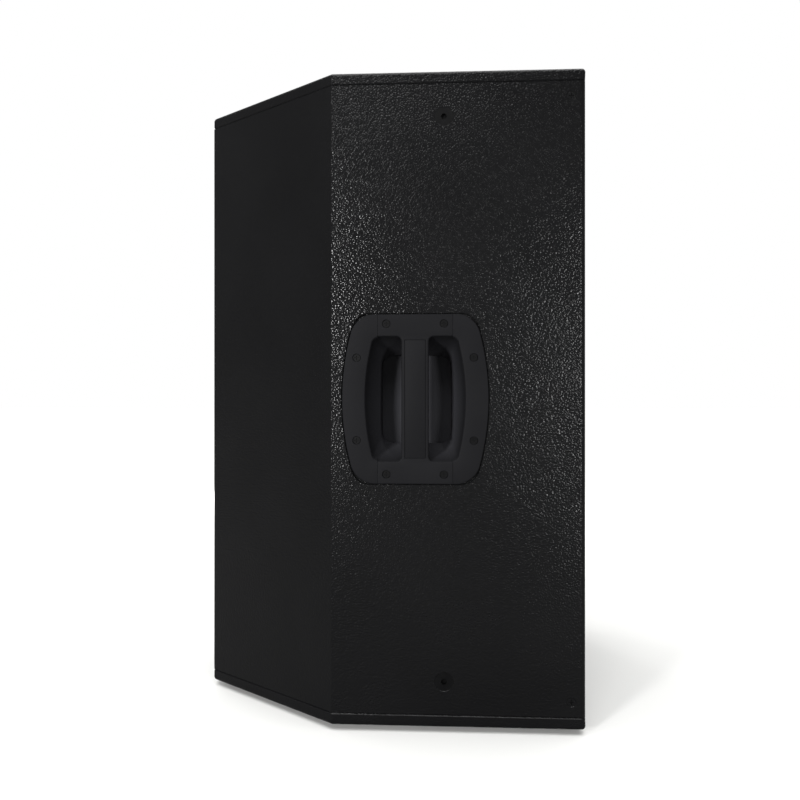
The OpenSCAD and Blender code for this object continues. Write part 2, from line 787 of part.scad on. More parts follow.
module top_wadding() {
    color("#c9c6bd") translate([0, 0, inner_z1 - 25]) linear_extrude(24.5)
        polygon([[-150, front_y + 60], [-150, bend_y - 20], [-60, rear_y - 55], [60, rear_y - 55],
            [150, bend_y - 20], [150, front_y + 60]]);
}

module chamfer_wadding() {
    translate([-inner[1].x, inner[1].y, 0]) rotate([0, 0, 90 + chamfer_a]) translate([25, 0.5, inner_z0 + 30])
        cube([150, 22, 560]);
}

module left_wadding() {
    color("#c9c6bd") mirror([1, 0, 0]) chamfer_wadding();
}

module right_wadding() {
    color("#c9c6bd") chamfer_wadding();
}

// Handles

// The flange's outline, bulging at its sides, moved in by inset
module flange_shape(inset = 0) {
    offset(r = flange_corner - inset, $fn = 80) offset(delta = -flange_corner) intersection() {
        square([handle_w, handle_h], center = true);
        intersection_for(s = [-1, 1]) translate([s * (flange_arc - handle_w / 2), 0])
            circle(r = flange_arc, $fn = 200);
    }
}

// The mouth of the dish, without the bar
module well_shape() {
    offset(r = 5, $fn = 48) offset(delta = -5) intersection() {
        square([well_w, well_h], center = true);
        intersection_for(s = [-1, 1]) translate([s * (well_arc - well_w / 2), 0])
            circle(r = well_arc, $fn = 200);
    }
}

module floor_shape() {
    offset(r = 12, $fn = 48) square([floor_w - 24, floor_h - 24], center = true);
}

// The dish from its mouth at height top down to its floor, grown by a wall of thickness grow
module dish_body(grow, top) {
    hull() {
        translate([0, 0, top]) linear_extrude(1) offset(r = grow) well_shape();
        translate([0, 0, -dish_deep - grow]) linear_extrude(1) offset(r = grow) floor_shape();
    }
}

// The bar's face: a T at each end, and a fillet where each T meets the bar
module bar_face(gap) {
    intersection() {
        flange_shape(gap);
        offset(r = -bar_fillet, $fn = 48) offset(delta = bar_fillet) union() {
            for (s = [0, 1]) mirror([0, s]) translate([-tab_w / 2 + gap, well_h / 2 + gap])
                square([tab_w - 2 * gap, handle_h]);
            square([bar_w - 2 * bar_edge, handle_h], center = true);
        }
    }
}

module handle_dish() {
    difference() {
        union() {
            translate([0, 0, -flange_thick]) linear_extrude(flange_thick) flange_shape();
            dish_body(dish_wall, -flange_thick - 0.5);
        }
        dish_body(0, 0.2);
        translate([0, 0, -tab_t]) linear_extrude(tab_t + 1) bar_face(0);
        for (s = handle_screws_at) translate([s.x, s.y, 0]) {
            translate([0, 0, -flange_thick - 1]) cylinder(r = 2.2, h = 6, $fn = 24);
            translate([0, 0, -handle_seat]) cylinder(r = handle_recess_r, h = handle_seat + 1, $fn = fine);
        }
    }
}

module handle_bar() {
    difference() {
        union() {
            translate([0, 0, -tab_t]) linear_extrude(tab_t) bar_face(0.15);
            bar_core();
        }
        translate([0, 0, -1]) linear_extrude(2) square([insert_w + 0.6, insert_h + 0.6], center = true);
        for (s = handle_screws_at) if (abs(s.x) < tab_w / 2) translate([s.x, s.y, 0]) {
            translate([0, 0, -4]) cylinder(r = 2.2, h = 6, $fn = 24);
            translate([0, 0, -handle_seat]) cylinder(r = handle_recess_r, h = handle_seat + 1, $fn = fine);
        }
    }
}

// The part that the hand holds: rounded edges, and ends that slope in with the dish
module bar_core() {
    hull() for (s = [-1, 1]) {
        translate([s * (bar_w / 2 - bar_edge), 0, -bar_edge]) rotate([90, 0, 0])
            cylinder(r = bar_edge, h = well_h - 5, center = true, $fn = 32);
        translate([s * (bar_w / 2 - bar_edge - 2), 0, -bar_t + bar_edge]) rotate([90, 0, 0])
            cylinder(r = bar_edge, h = well_h - 18, center = true, $fn = 32);
    }
}

module handle_insert() {
    translate([0, 0, -0.98]) linear_extrude(0.7) square([insert_w, insert_h], center = true);
}

module left_handle_dish() {
    color("#262627") mirror([1, 0, 0]) at_handle() handle_dish();
}

module left_handle_bar() {
    color("#29292a") mirror([1, 0, 0]) at_handle() handle_bar();
}

module left_handle_insert() {
    color("#252526") mirror([1, 0, 0]) at_handle() handle_insert();
}

module right_handle_dish() {
    color("#262627") at_handle() handle_dish();
}

module right_handle_bar() {
    color("#29292a") at_handle() handle_bar();
}

module right_handle_insert() {
    color("#252526") at_handle() handle_insert();
}

module handle_screws() {
    color("#18181a") for (m = [0, 1]) mirror([m, 0, 0]) at_handle() for (s = handle_screws_at)
        translate([s.x, s.y, 0]) difference() {
            union() {
                translate([0, 0, -handle_seat]) cylinder(r = handle_head_r, h = handle_head_t, $fn = fine);
                translate([0, 0, -ply]) cylinder(r = 2, h = ply - handle_seat, $fn = 24);
            }
            translate([0, 0, handle_head_t - handle_seat]) cross_slot(4.6, 0.8);
        }
}

// Fly points

module fly_inserts() {
    color("#9c9c98") {
        for (m = [0, 1]) mirror([m, 0, 0]) right_side() for (z = fly_z) translate([fly_y, z, -ply])
            insert_nut(fly_r + 0.1);
        into_rear(0, fly_z[1]) translate([0, 0, ply]) mirror([0, 0, 1]) insert_nut(pull_thread_r);
    }
}

// A plate with a threaded boss, flat against the panel's inner face at z = 0
module insert_nut(r) {
    difference() {
        translate([-insert_plate / 2, -insert_plate / 2, -insert_t])
            cube([insert_plate, insert_plate, insert_t]);
        translate([0, 0, -insert_t - 1]) cylinder(r = r, h = insert_t + 2, $fn = fine);
    }
    ring(9, r, -insert_t - 8, -insert_t);
}

module fly_screws() {
    color("#121213") for (m = [0, 1]) mirror([m, 0, 0]) right_side() for (z = fly_z)
        translate([fly_y, z, -0.4]) difference() {
            countersunk(fly_head_r, fly_r, 26);
            hex_slot(6, 4);
        }
}

// Pole socket and feet

module pole_screw_spots() {
    for (i = [0:3]) translate([0, pole_y, 0]) rotate(90 * i + 45) translate([pole_screw_pcr, 0, 0])
        children();
}

module pole_socket() {
    color("#1d1d1f") translate([0, pole_y, 0]) difference() {
        union() {
            translate([0, 0, box_z0 - pole_flange_t])
                cylinder(r = pole_flange_r, h = pole_flange_t, $fn = fine);
            translate([0, 0, box_z0]) cylinder(r = pole_r + pole_wall, h = pole_deep + 2, $fn = fine);
        }
        translate([0, 0, box_z0 - pole_flange_t - 1])
            cylinder(r = pole_r, h = pole_deep + pole_flange_t + 1, $fn = fine);
        for (i = [0:3]) rotate(90 * i + 45) translate([pole_screw_pcr, 0, 0])
            cylinder(r = 2.2, h = box_z0 + 1, $fn = 24);
    }
}

module pole_socket_screws() {
    z = box_z0 - pole_flange_t;
    color("#2a2a2c") pole_screw_spots() translate([0, 0, z]) difference() {
        union() {
            translate([0, 0, -2]) cylinder(r = 4, h = 2, $fn = fine);
            cylinder(r = 2, h = pole_flange_t + 11, $fn = 24);
        }
        translate([0, 0, -2]) rotate([180, 0, 0]) cross_slot(4.6, 1.2);
    }
}

module foot_spots() {
    for (p = feet_at) translate([p.x, p.y, 0]) children();
}

module feet() {
    r = foot_d / 2;
    color("#141414") foot_spots() rotate_extrude($fn = fine)
        polygon([[4.6, 0], [r - 3.5, 0], [r - 2.5, 1], [r, box_z0], [2.2, box_z0], [2.2, foot_recess],
            [4.6, foot_recess]]);
}

module foot_screws() {
    color("#8e8e90") foot_spots() translate([0, 0, foot_recess]) difference() {
        union() {
            translate([0, 0, -2]) cylinder(r = 4, h = 2, $fn = fine);
            cylinder(r = 2, h = box_z0 - foot_recess + 11, $fn = 24);
        }
        translate([0, 0, -2]) rotate([180, 0, 0]) cross_slot(4.6, 1.2);
    }
}

top_panel();
bottom_panel();
left_side_panel();
right_side_panel();
left_chamfer_panel();
right_chamfer_panel();
rear_panel();
front_baffle();
front_battens();
batten_screws();
cross_brace();
grille();
grille_foam();
grille_screws();
woofer_basket();
woofer_gasket();
woofer_cone();
dust_cap();
voice_coil();
woofer_surround();
woofer_spider();
woofer_top_plate();
woofer_magnet();
woofer_yoke();
woofer_terminals();
woofer_screws();
horn_flare();
horn_screws();
driver_front_plate();
driver_magnet();
driver_gap_plate();
driver_diaphragm();
driver_suspension();
driver_rear_cover();
port_tubes();
crossover_board();
crossover_coils();
crossover_capacitors();
crossover_resistors();
connector_plate();
speaker_sockets();
plate_screws();
internal_wiring();
top_wadding();
left_wadding();
right_wadding();
left_handle_dish();
left_handle_bar();
left_handle_insert();
right_handle_dish();
right_handle_bar();
right_handle_insert();
handle_screws();
fly_inserts();
fly_screws();
pole_socket();
pole_socket_screws();
feet();
foot_screws();
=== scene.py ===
# PA speaker cabinet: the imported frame, with its visible finishes and detailed pieces
import json
from math import pi, radians, sqrt

import bmesh
import bpy
from mathutils import Matrix, Vector, noise


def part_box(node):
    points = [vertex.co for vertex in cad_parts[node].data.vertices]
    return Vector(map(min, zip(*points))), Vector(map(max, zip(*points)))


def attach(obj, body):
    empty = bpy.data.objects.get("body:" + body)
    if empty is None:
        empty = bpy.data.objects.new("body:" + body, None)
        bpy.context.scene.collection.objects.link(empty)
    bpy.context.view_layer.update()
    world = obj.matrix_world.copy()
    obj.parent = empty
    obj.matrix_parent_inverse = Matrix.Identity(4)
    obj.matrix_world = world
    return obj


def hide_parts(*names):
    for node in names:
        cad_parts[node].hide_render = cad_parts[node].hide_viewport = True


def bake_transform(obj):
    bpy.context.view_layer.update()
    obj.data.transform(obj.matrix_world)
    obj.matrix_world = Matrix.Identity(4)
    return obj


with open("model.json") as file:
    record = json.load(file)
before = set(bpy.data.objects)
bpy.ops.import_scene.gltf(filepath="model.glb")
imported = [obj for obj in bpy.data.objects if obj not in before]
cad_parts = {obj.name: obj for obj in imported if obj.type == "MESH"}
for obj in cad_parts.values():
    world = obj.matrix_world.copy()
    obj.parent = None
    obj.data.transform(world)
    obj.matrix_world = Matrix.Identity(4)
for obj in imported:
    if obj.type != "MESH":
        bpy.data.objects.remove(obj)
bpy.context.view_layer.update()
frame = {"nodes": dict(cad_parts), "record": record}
nodes = frame["nodes"]
mm = 0.001
print("frame loaded:", len(nodes), "nodes")

dishLow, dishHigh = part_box("left_handle_dish")
grilleLow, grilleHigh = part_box("grille")
handleY = (dishLow.y + dishHigh.y) / 2
handleZ = (dishLow.z + dishHigh.z) / 2
faceX = -dishLow.x  # how far the side panels' faces stand from the middle


def linearColour(hexCode):
    parts = [int(hexCode[i:i + 2], 16) / 255 for i in (1, 3, 5)]
    return [c / 12.92 if c <= 0.04045 else ((c + 0.055) / 1.055) ** 2.4 for c in parts] + [1]


def addNode(tree, kind, settings=None, links=None, feeds=None):
    # one node with its settings, the outputs that feed it, and the sockets that it feeds
    node = tree.nodes.new(kind)
    for key, value in (settings or {}).items():
        if key == "stops":
            fillRamp(node.color_ramp, value)
        elif isinstance(key, int) or key in node.inputs:
            node.inputs[key].default_value = value
        else:
            setattr(node, key, value)
    for key, (source, output) in (links or {}).items():
        tree.links.new(source.outputs[output], node.inputs[key])
    for output, (target, key) in (feeds or {}).items():
        tree.links.new(node.outputs[output], target.inputs[key])
    return node


def fillRamp(ramp, stops):  # stops are pairs of a place from 0 to 1 and an sRGB hex colour
    while len(ramp.elements) < len(stops):
        ramp.elements.new(0.5)
    for element, (position, hexCode) in zip(ramp.elements, stops):
        element.position = position
        element.color = linearColour(hexCode)


def newMaterial(name, metallic=0.0, **sockets):
    material = bpy.data.materials.new(name)
    material.use_nodes = True
    tree = material.node_tree
    shader = tree.nodes["Principled BSDF"]
    shader.inputs["Metallic"].default_value = metallic
    if not metallic:
        shader.inputs["IOR"].default_value = 1.5  # lacquer, plastic, rubber and wood
    for key, value in sockets.items():
        shader.inputs[key].default_value = value
    place = addNode(tree, "ShaderNodeTexCoord")
    return material, tree, shader, place


def perMetre(size):  # the scale of a noise or voronoi pattern whose features are size millimetres across
    return 1 / (size * mm)


def bandScale(width):  # the scale of a wave texture whose bands are width millimetres apart
    bandsAtOne = 2 * pi / 20  # metres from band to band at scale 1
    return bandsAtOne / (width * mm)


def dressShader(tree, shader, tone, stops, wear, rough, height, relief, strength=1.0, under=None):
    # colour from tone, roughness from wear between the two ends of rough, and a relief in mm from height
    if stops:
        addNode(tree, "ShaderNodeValToRGB", {"stops": stops}, {"Fac": tone},
                {"Color": (shader, "Base Color")})
    addNode(tree, "ShaderNodeMapRange", {"To Min": rough[0], "To Max": rough[1]}, {"Value": wear},
            {"Result": (shader, "Roughness")})
    links = {"Height": height}
    if under:
        links["Normal"] = (under, "Normal")
    addNode(tree, "ShaderNodeBump", {"Strength": strength, "Distance": relief * mm}, links,
            {"Normal": (shader, "Normal")})


def grainedFinish(name, look):  # moulded, cast and painted finishes: cloudy tone, fine grain, uneven sheen
    material, tree, shader, place = newMaterial(name, metallic=look.get("metallic", 0.0))
    cloud = addNode(tree, "ShaderNodeTexNoise", {"Scale": perMetre(look["cloud"]), "Detail": 4.0},
                    {"Vector": (place, "Object")})
    grain = addNode(tree, "ShaderNodeTexNoise", {"Scale": perMetre(look["grain"]), "Detail": 3.0},
                    {"Vector": (place, "Object")})
    dressShader(tree, shader, (cloud, "Fac"), [(0.3, look["dark"]), (0.7, look["light"])],
                (cloud, "Fac"), (look["rough"] - 0.05, look["rough"] + 0.05),
                (grain, "Fac"), look["relief"], 0.6)
    shader.inputs["Specular IOR Level"].default_value = look.get("gloss", 0.5)
    return material


coatings = {  # the widths and reliefs of drops and swells, and the width of the tone's clouds, are in mm
    "textured_paint": {
        "name": "texturedCabinetPaint", "dark": "#0f0f10", "light": "#141415", "gloss": 0.22, "rough": 0.2,
        "drop": 2.0,  # real drops are nearer 1 mm, too fine to show, so they are drawn coarser
        "dropRelief": 0.4, "swell": 5.5, "swellRelief": 0.12, "cloud": 160,
    },
    "painted_screws": {
        "name": "sprayedOverScrew", "dark": "#0f0f10", "light": "#141415", "gloss": 0.22, "rough": 0.28,
        "drop": 2.2, "dropRelief": 0.3, "swell": 4.5, "swellRelief": 0.15, "cloud": 60,
    },
}


def texturedCoating(look):
    # Water-based textured paint, rolled over birch ply: black and pebbled, each drop throws a small glint
    material, tree, shader, place = newMaterial(look["name"], **{"Specular IOR Level": look["gloss"]})
    cloud = addNode(tree, "ShaderNodeTexNoise", {"Scale": perMetre(look["cloud"]), "Detail": 3.0},
                    {"Vector": (place, "Object")})
    drops = addNode(tree, "ShaderNodeTexVoronoi", {"feature": "SMOOTH_F1", "Scale": perMetre(look["drop"]),
                    "Smoothness": 0.5, "Randomness": 1.0}, {"Vector": (place, "Object")})
    swell = addNode(tree, "ShaderNodeTexNoise", {"Scale": perMetre(look["swell"]), "Detail": 2.0,
                    "Roughness": 0.6}, {"Vector": (place, "Object")})
    low = addNode(tree, "ShaderNodeBump", {"Strength": 1.0, "Distance": look["swellRelief"] * mm},
                  {"Height": (swell, "Fac")})
    domes = addNode(tree, "ShaderNodeMath", {"operation": "SUBTRACT", 0: 1.0}, {1: (drops, "Distance")})
    dressShader(tree, shader, (cloud, "Fac"), [(0.3, look["dark"]), (0.7, look["light"])],
                (swell, "Fac"), (look["rough"] - 0.08, look["rough"] + 0.1),
                (domes, "Value"), look["dropRelief"], under=low)
    return material


plywood = {"pale": "#b99a6b", "dark": "#8f6f45", "ring": 9, "pore": 0.7, "rough": 0.62, "relief": 0.15,
           "stretch": 0.06}  # the figure is drawn out along the grain


def birchPlywood():
    # Bare sanded birch ply: warm, long soft figure along the face, matt
    material, tree, shader, place = newMaterial("sandedBirchPly")
    along = addNode(tree, "ShaderNodeMapping", {"Scale": (1.0, 1.0, plywood["stretch"])},
                    {"Vector": (place, "Object")})
    figure = addNode(tree, "ShaderNodeTexNoise", {"Scale": perMetre(plywood["ring"]), "Detail": 5.0,
                     "Distortion": 0.6}, {"Vector": (along, "Vector")})
    pores = addNode(tree, "ShaderNodeTexNoise", {"Scale": perMetre(plywood["pore"]), "Detail": 2.0},
                    {"Vector": (along, "Vector")})
    dressShader(tree, shader, (figure, "Fac"), [(0.3, plywood["dark"]), (0.65, plywood["pale"])],
                (pores, "Fac"), (plywood["rough"] - 0.08, plywood["rough"] + 0.08),
                (pores, "Fac"), plywood["relief"], 0.5)
    return material


def wovenCloth(name, look):
    # Dipped or doped woven cloth: crossed threads in relief, shinier where the dope lies on top. Real
    # threads are under a millimetre, too fine to show, so they are drawn coarser
    material, tree, shader, place = newMaterial(name)
    across = addNode(tree, "ShaderNodeTexWave", {"wave_type": "BANDS", "bands_direction": "X",
                     "Scale": bandScale(look["thread"])}, {"Vector": (place, "Object")})
    down = addNode(tree, "ShaderNodeTexWave", {"wave_type": "BANDS", "bands_direction": "Z",
                   "Scale": bandScale(look["thread"])}, {"Vector": (place, "Object")})
    weave = addNode(tree, "ShaderNodeMath", {"operation": "MAXIMUM"}, {0: (across, "Fac"), 1: (down, "Fac")})
    dressShader(tree, shader, (weave, "Value"), [(0.2, look["dark"]), (0.8, look["light"])],
                (weave, "Value"), (look["rough"] + 0.1, look["rough"] - 0.1),
                (weave, "Value"), look["relief"], 0.6)
    return material


def softFibre(name, look):
    # Loose fibre or open-cell foam: matt, with a ragged fine surface and a little sheen
    material, tree, shader, place = newMaterial(name, **{"Sheen Weight": look["sheen"]})
    cells = addNode(tree, "ShaderNodeTexVoronoi", {"Scale": perMetre(look["cell"])},
                    {"Vector": (place, "Object")})
    cloud = addNode(tree, "ShaderNodeTexNoise", {"Scale": perMetre(look["cloud"]), "Detail": 6.0},
                    {"Vector": (place, "Object")})
    both = addNode(tree, "ShaderNodeMath", {"operation": "MULTIPLY"},
                   {0: (cells, "Distance"), 1: (cloud, "Fac")})
    dressShader(tree, shader, (both, "Value"), [(0.05, look["dark"]), (0.45, look["light"])],
                (cloud, "Fac"), (0.85, 1.0), (both, "Value"), look["relief"], 0.8)
    return material


handlePlastic = {
    "dark": "#18181a", "light": "#1c1c1e", "cloud": 90, "grain": 0.9, "relief": 0.06, "rough": 0.62,
    # the last three values paint light into the pocket: between the two depths the colour grows up to the
    # third value times paler
    "gloss": 0.08, "paintedLightStartDepth": 5, "paintedLightFullDepth": 45, "paintedLightGain": 4.5,  # depths below the flange, mm
}


def mouldedHandle():
    # Satin moulded ABS: even charcoal on flange and bar; the pocket is painted paler the deeper it goes,
    # painted light that stands in for light hardly reaching its floor
    material = grainedFinish("satinHandleAbs", handlePlastic)
    tree = material.node_tree
    shader = tree.nodes["Principled BSDF"]
    tone = shader.inputs["Base Color"].links[0].from_node
    place = addNode(tree, "ShaderNodeTexCoord")
    axes = addNode(tree, "ShaderNodeSeparateXYZ", links={"Vector": (place, "Object")})
    away = addNode(tree, "ShaderNodeMath", {"operation": "ABSOLUTE"}, {0: (axes, "X")})
    # painted light: the base colour is scaled up with depth below the face, so the pocket's walls and floor
    # look lit
    depth = addNode(tree, "ShaderNodeMapRange", {
        "From Min": faceX - handlePlastic["paintedLightStartDepth"] * mm,
        "From Max": faceX - handlePlastic["paintedLightFullDepth"] * mm,
        "To Min": 1.0, "To Max": handlePlastic["paintedLightGain"]}, {"Value": (away, "Value")})
    addNode(tree, "ShaderNodeVectorMath", {"operation": "SCALE"},
            {0: (tone, "Color"), "Scale": (depth, "Result")}, {"Vector": (shader, "Base Color")})
    return material


copperWire = {"dark": "#5a2c12", "light": "#b5683a", "turn": 2.17, "rough": (0.4, 0.25), "relief": 0.4}


def woundCopper():
    # Enamelled copper wire laid in close turns: fine ridges, warm and glossy, the turns drawn twice as wide
    material, tree, shader, place = newMaterial("enamelledCopperWire", metallic=0.9)
    turns = addNode(tree, "ShaderNodeTexWave", {"wave_type": "BANDS", "bands_direction": "Y",
                    "Scale": bandScale(copperWire["turn"]), "Distortion": 0.4},
                    {"Vector": (place, "Object")})
    dressShader(tree, shader, (turns, "Fac"), [(0.2, copperWire["dark"]), (0.7, copperWire["light"])],
                (turns, "Fac"), copperWire["rough"], (turns, "Fac"), copperWire["relief"], 0.8)
    return material


board = {"lacquer": ("#20492c", "#255534"), "track": "#4b8657", "trackSpan": 60, "trackShare": 0.03,
         "rough": (0.3, 0.22), "relief": 0.05}


def circuitBoard():
    # Glass-epoxy board under green lacquer: darker lacquer with paler copper tracks beneath
    material, tree, shader, place = newMaterial("greenLacqueredBoard")
    tracks = addNode(tree, "ShaderNodeTexBrick", {"Scale": perMetre(board["trackSpan"]),
                     "Mortar Size": board["trackShare"], "Color1": linearColour(board["lacquer"][0]),
                     "Color2": linearColour(board["lacquer"][1]), "Mortar": linearColour(board["track"])},
                     {"Vector": (place, "Object")}, {"Color": (shader, "Base Color")})
    dressShader(tree, shader, None, None, (tracks, "Fac"), board["rough"], (tracks, "Fac"),
                board["relief"], 0.6)
    return material


def makeMaterials():
    grained = {
        # Polyester powder on steel: even satin black with orange peel
        "grille_steel": ("blackPowderCoat", {
            "dark": "#111112", "light": "#171718", "cloud": 60, "grain": 0.8, "relief": 0.06, "rough": 0.4}),
        # Black-oxide steel: oily, slightly blue-black, soft highlights
        "black_screws": ("blackOxideSteel", {
            "dark": "#060607", "light": "#0a0a0b", "cloud": 8, "grain": 0.5, "relief": 0.05, "rough": 0.42,
            "gloss": 0.15}),
        # Zinc-plated steel: grey with a faint bloom
        "zinc_steel": ("zincPlatedSteel", {
            "dark": "#8c8f93", "light": "#b4b7bb", "cloud": 12, "grain": 0.6, "relief": 0.04, "rough": 0.34,
            "metallic": 1.0}),
        # Die-cast aluminium frame, sprayed black: fine sand texture under thin paint
        "cast_frame": ("paintedDieCasting", {
            "dark": "#1b1b1d", "light": "#27272a", "cloud": 40, "grain": 0.7, "relief": 0.12, "rough": 0.46}),
        # Fibre gasket board: flat, dusty
        "gasket_board": ("fibreGasket", {
            "dark": "#191918", "light": "#242423", "cloud": 10, "grain": 0.6, "relief": 0.15, "rough": 0.85}),
        # Pressed paper pulp with a matt coating: short felted fibres
        "paper_cone": ("coatedPaperPulp", {
            "dark": "#18181a", "light": "#232326", "cloud": 14, "grain": 1.6, "relief": 0.25, "rough": 0.7}),
        # Sintered ferrite, ground on its faces: dull dark grey
        "ferrite": ("groundFerrite", {
            "dark": "#2c2c2e", "light": "#3d3d40", "cloud": 9, "grain": 0.5, "relief": 0.08, "rough": 0.5}),
        # Red moulded terminals: glossy
        "terminal_plastic": ("redTerminalPlastic", {
            "dark": "#8f1a1a", "light": "#a82222", "cloud": 6, "grain": 0.5, "relief": 0.02, "rough": 0.25}),
        # Injection-moulded ABS: spark-eroded matt texture
        "moulded_plastic": ("mouldedBlackAbs", {
            "dark": "#181819", "light": "#1f1f20", "cloud": 50, "grain": 0.6, "relief": 0.08, "rough": 0.5}),
        # Pressed titanium foil: bright grey, faint forming marks
        "titanium": ("pressedTitaniumFoil", {
            "dark": "#9b9da1", "light": "#bfc1c6", "cloud": 5, "grain": 0.4, "relief": 0.03, "rough": 0.28,
            "metallic": 1.0}),
        # Yellow wrapped film capacitors: waxy tape
        "film_capacitor": ("yellowFilmWrap", {
            "dark": "#b8912a", "light": "#d9b347", "cloud": 8, "grain": 0.6, "relief": 0.05, "rough": 0.35}),
        # Cement-filled ceramic resistors: chalky
        "resistor_ceramic": ("resistorCement", {
            "dark": "#cfcabd", "light": "#e2dfd5", "cloud": 6, "grain": 0.5, "relief": 0.12, "rough": 0.8}),
        # Glass-filled nylon sockets: blue-black, slightly dry surface
        "socket_plastic": ("glassFilledNylon", {
            "dark": "#161c28", "light": "#1e2636", "cloud": 9, "grain": 0.5, "relief": 0.06, "rough": 0.42}),
        # Soft PVC wire jacket
        "wire_jacket": ("softPvcJacket", {
            "dark": "#7d1d1c", "light": "#96292a", "cloud": 12, "grain": 0.6, "relief": 0.02, "rough": 0.4}),
        # Moulded rubber feet: dull, with a little mould bloom
        "foot_rubber": ("mouldedFootRubber", {
            "dark": "#131313", "light": "#1d1d1d", "cloud": 14, "grain": 0.9, "relief": 0.12, "rough": 0.75}),
    }
    made = {slot: grainedFinish(name, look) for slot, (name, look) in grained.items()}
    for slotName, look in coatings.items():
        made[slotName] = texturedCoating(look)
    made["birch_plywood"] = birchPlywood()
    made["treated_cloth"] = wovenCloth("dopedClothRoll", {
        "dark": "#0f0f0f", "light": "#1a1a1a", "thread": 5.26, "relief": 0.25, "rough": 0.4})
    made["resin_cloth"] = wovenCloth("resinDippedCloth", {
        "dark": "#8a6224", "light": "#b58a3c", "thread": 5.26, "relief": 0.25, "rough": 0.6})
    made["open_foam"] = softFibre("reticulatedFoam", {
        "dark": "#050505", "light": "#161616", "cell": 1.6, "cloud": 30, "relief": 0.8, "sheen": 0.2})
    made["wadding"] = softFibre("polyesterWadding", {
        "dark": "#a8a49a", "light": "#dedbd2", "cell": 4, "cloud": 25, "relief": 2.0, "sheen": 0.5})
    made["handle_plastic"] = mouldedHandle()
    made["copper_winding"] = woundCopper()
    made["circuit_board"] = circuitBoard()
    return made


finishes = makeMaterials()
for part in frame["record"]["subparts"]:
    mesh = nodes[part["node"]].data
    mesh.materials.clear()
    mesh.materials.append(finishes[part["material_slot"]])
print("finishes made:", len(finishes))


def finishPiece(name, bm, slotName, body="cabinet", replaced=(), smoothAngle=35, place=None):
    if place:
        bm.transform(place)
    bmesh.ops.recalc_face_normals(bm, faces=bm.faces[:])
    mesh = bpy.data.meshes.new(name)
    bm.to_mesh(mesh)
    bm.free()
    mesh.shade_smooth()
    mesh.set_sharp_from_angle(angle=radians(smoothAngle))
    mesh.materials.append(finishes[slotName])
    piece = bpy.data.objects.new(name, mesh)
    bpy.context.scene.collection.objects.link(piece)
    if body:
        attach(piece, body)
    if replaced:
        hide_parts(*replaced)
    return piece


def bevelEdges(bm, edges, width, segments=3):
    bmesh.ops.bevel(bm, geom=edges, offset=width, offset_type="OFFSET", affect="EDGES", segments=segments,
                    profile=0.5, material=-1, clamp_overlap=False)


def addBox(bm, low, high, rounding=0.0):  # a box between two corners, its edges rounded
    size = Vector(high) - Vector(low)
    middle = (Vector(high) + Vector(low)) / 2
    place = Matrix.Translation(middle) @ Matrix.Diagonal((*size, 1))
    made = bmesh.ops.create_cube(bm, size=1.0, matrix=place)
    if rounding:
        edges = list(dict.fromkeys(e for v in made["verts"] for e in v.link_edges))
        bevelEdges(bm, edges, rounding, 2)


def wholeShape(bm):
    return bm.verts[:] + bm.edges[:] + bm.faces[:]


def vertsIn(made):  # the vertices among what an operator has made
    return [item for item in made["geom"] if isinstance(item, bmesh.types.BMVert)]


def takeShape(piece):  # bakes the modifiers of a piece into its mesh
    bpy.context.view_layer.update()
    shaped = bpy.data.meshes.new_from_object(piece.evaluated_get(bpy.context.evaluated_depsgraph_get()))
    piece.modifiers.clear()
    piece.data = shaped


def cutAway(piece, cutter):  # takes the cutter's shape out of a piece
    tool = bpy.data.objects.new("cutter", bpy.data.meshes.new("cutter"))
    bmesh.ops.recalc_face_normals(cutter, faces=cutter.faces[:])
    cutter.to_mesh(tool.data)
    cutter.free()
    bpy.context.scene.collection.objects.link(tool)
    cut = piece.modifiers.new("cut", "BOOLEAN")
    cut.object, cut.operation, cut.solver = tool, "DIFFERENCE", "EXACT"
    takeShape(piece)
    bpy.data.objects.remove(tool)


hair = 0.01  # mm, closer than this two places are taken for one

# One bar handle lies flush in each side. Sizes are in mm, in the handle's own axes: across, up, and
# outward from the panel's face.
handle = {
    "flangeHalf": (79, 91.5), "flangeBulge": 15.4, "flangeCorner": 19, "flangeThick": 4,
    "mouthHalf": (54.3, 67), "mouthBulge": 9.1, "mouthCorner": 6,
    "floorHalf": (38, 48), "floorCorner": 12, "deep": 55, "wall": 3,
    "outerRound": 1.2, "mouthRound": 1.3, "floorRound": 6,
    "tabHalf": 40.5, "tabThick": 2.5, "gap": 0.15,
    "barHalf": 14.7, "barDeep": 18, "barBackHalf": 9.5, "barEndShort": 9, "fillet": 5.5,
    "barRound": 1.7, "gripRound": 5, "partingRound": 0.45, "filletClear": 0.6,
    "insertHalf": (11, 63.5), "insertTop": -0.28, "insertBottom": -1, "insertRound": 0.3,
    "pocketGap": 0.35, "pocketBottom": -1.05,
    "seatTop": -1.5, "seatStart": 3, "seatGap": 0.1, "seatWall": 0.05,  # seats in the flange for the bar
    "screwsAt": ((63, 44.5), (31, 81)),
    "screwSeats": ((4.5, -2), (2.3, -9)),  # radius and bottom of each step of a screw's hole
    "cornerSteps": 8, "sideCuts": 13, "smoothAngle": 32,
}


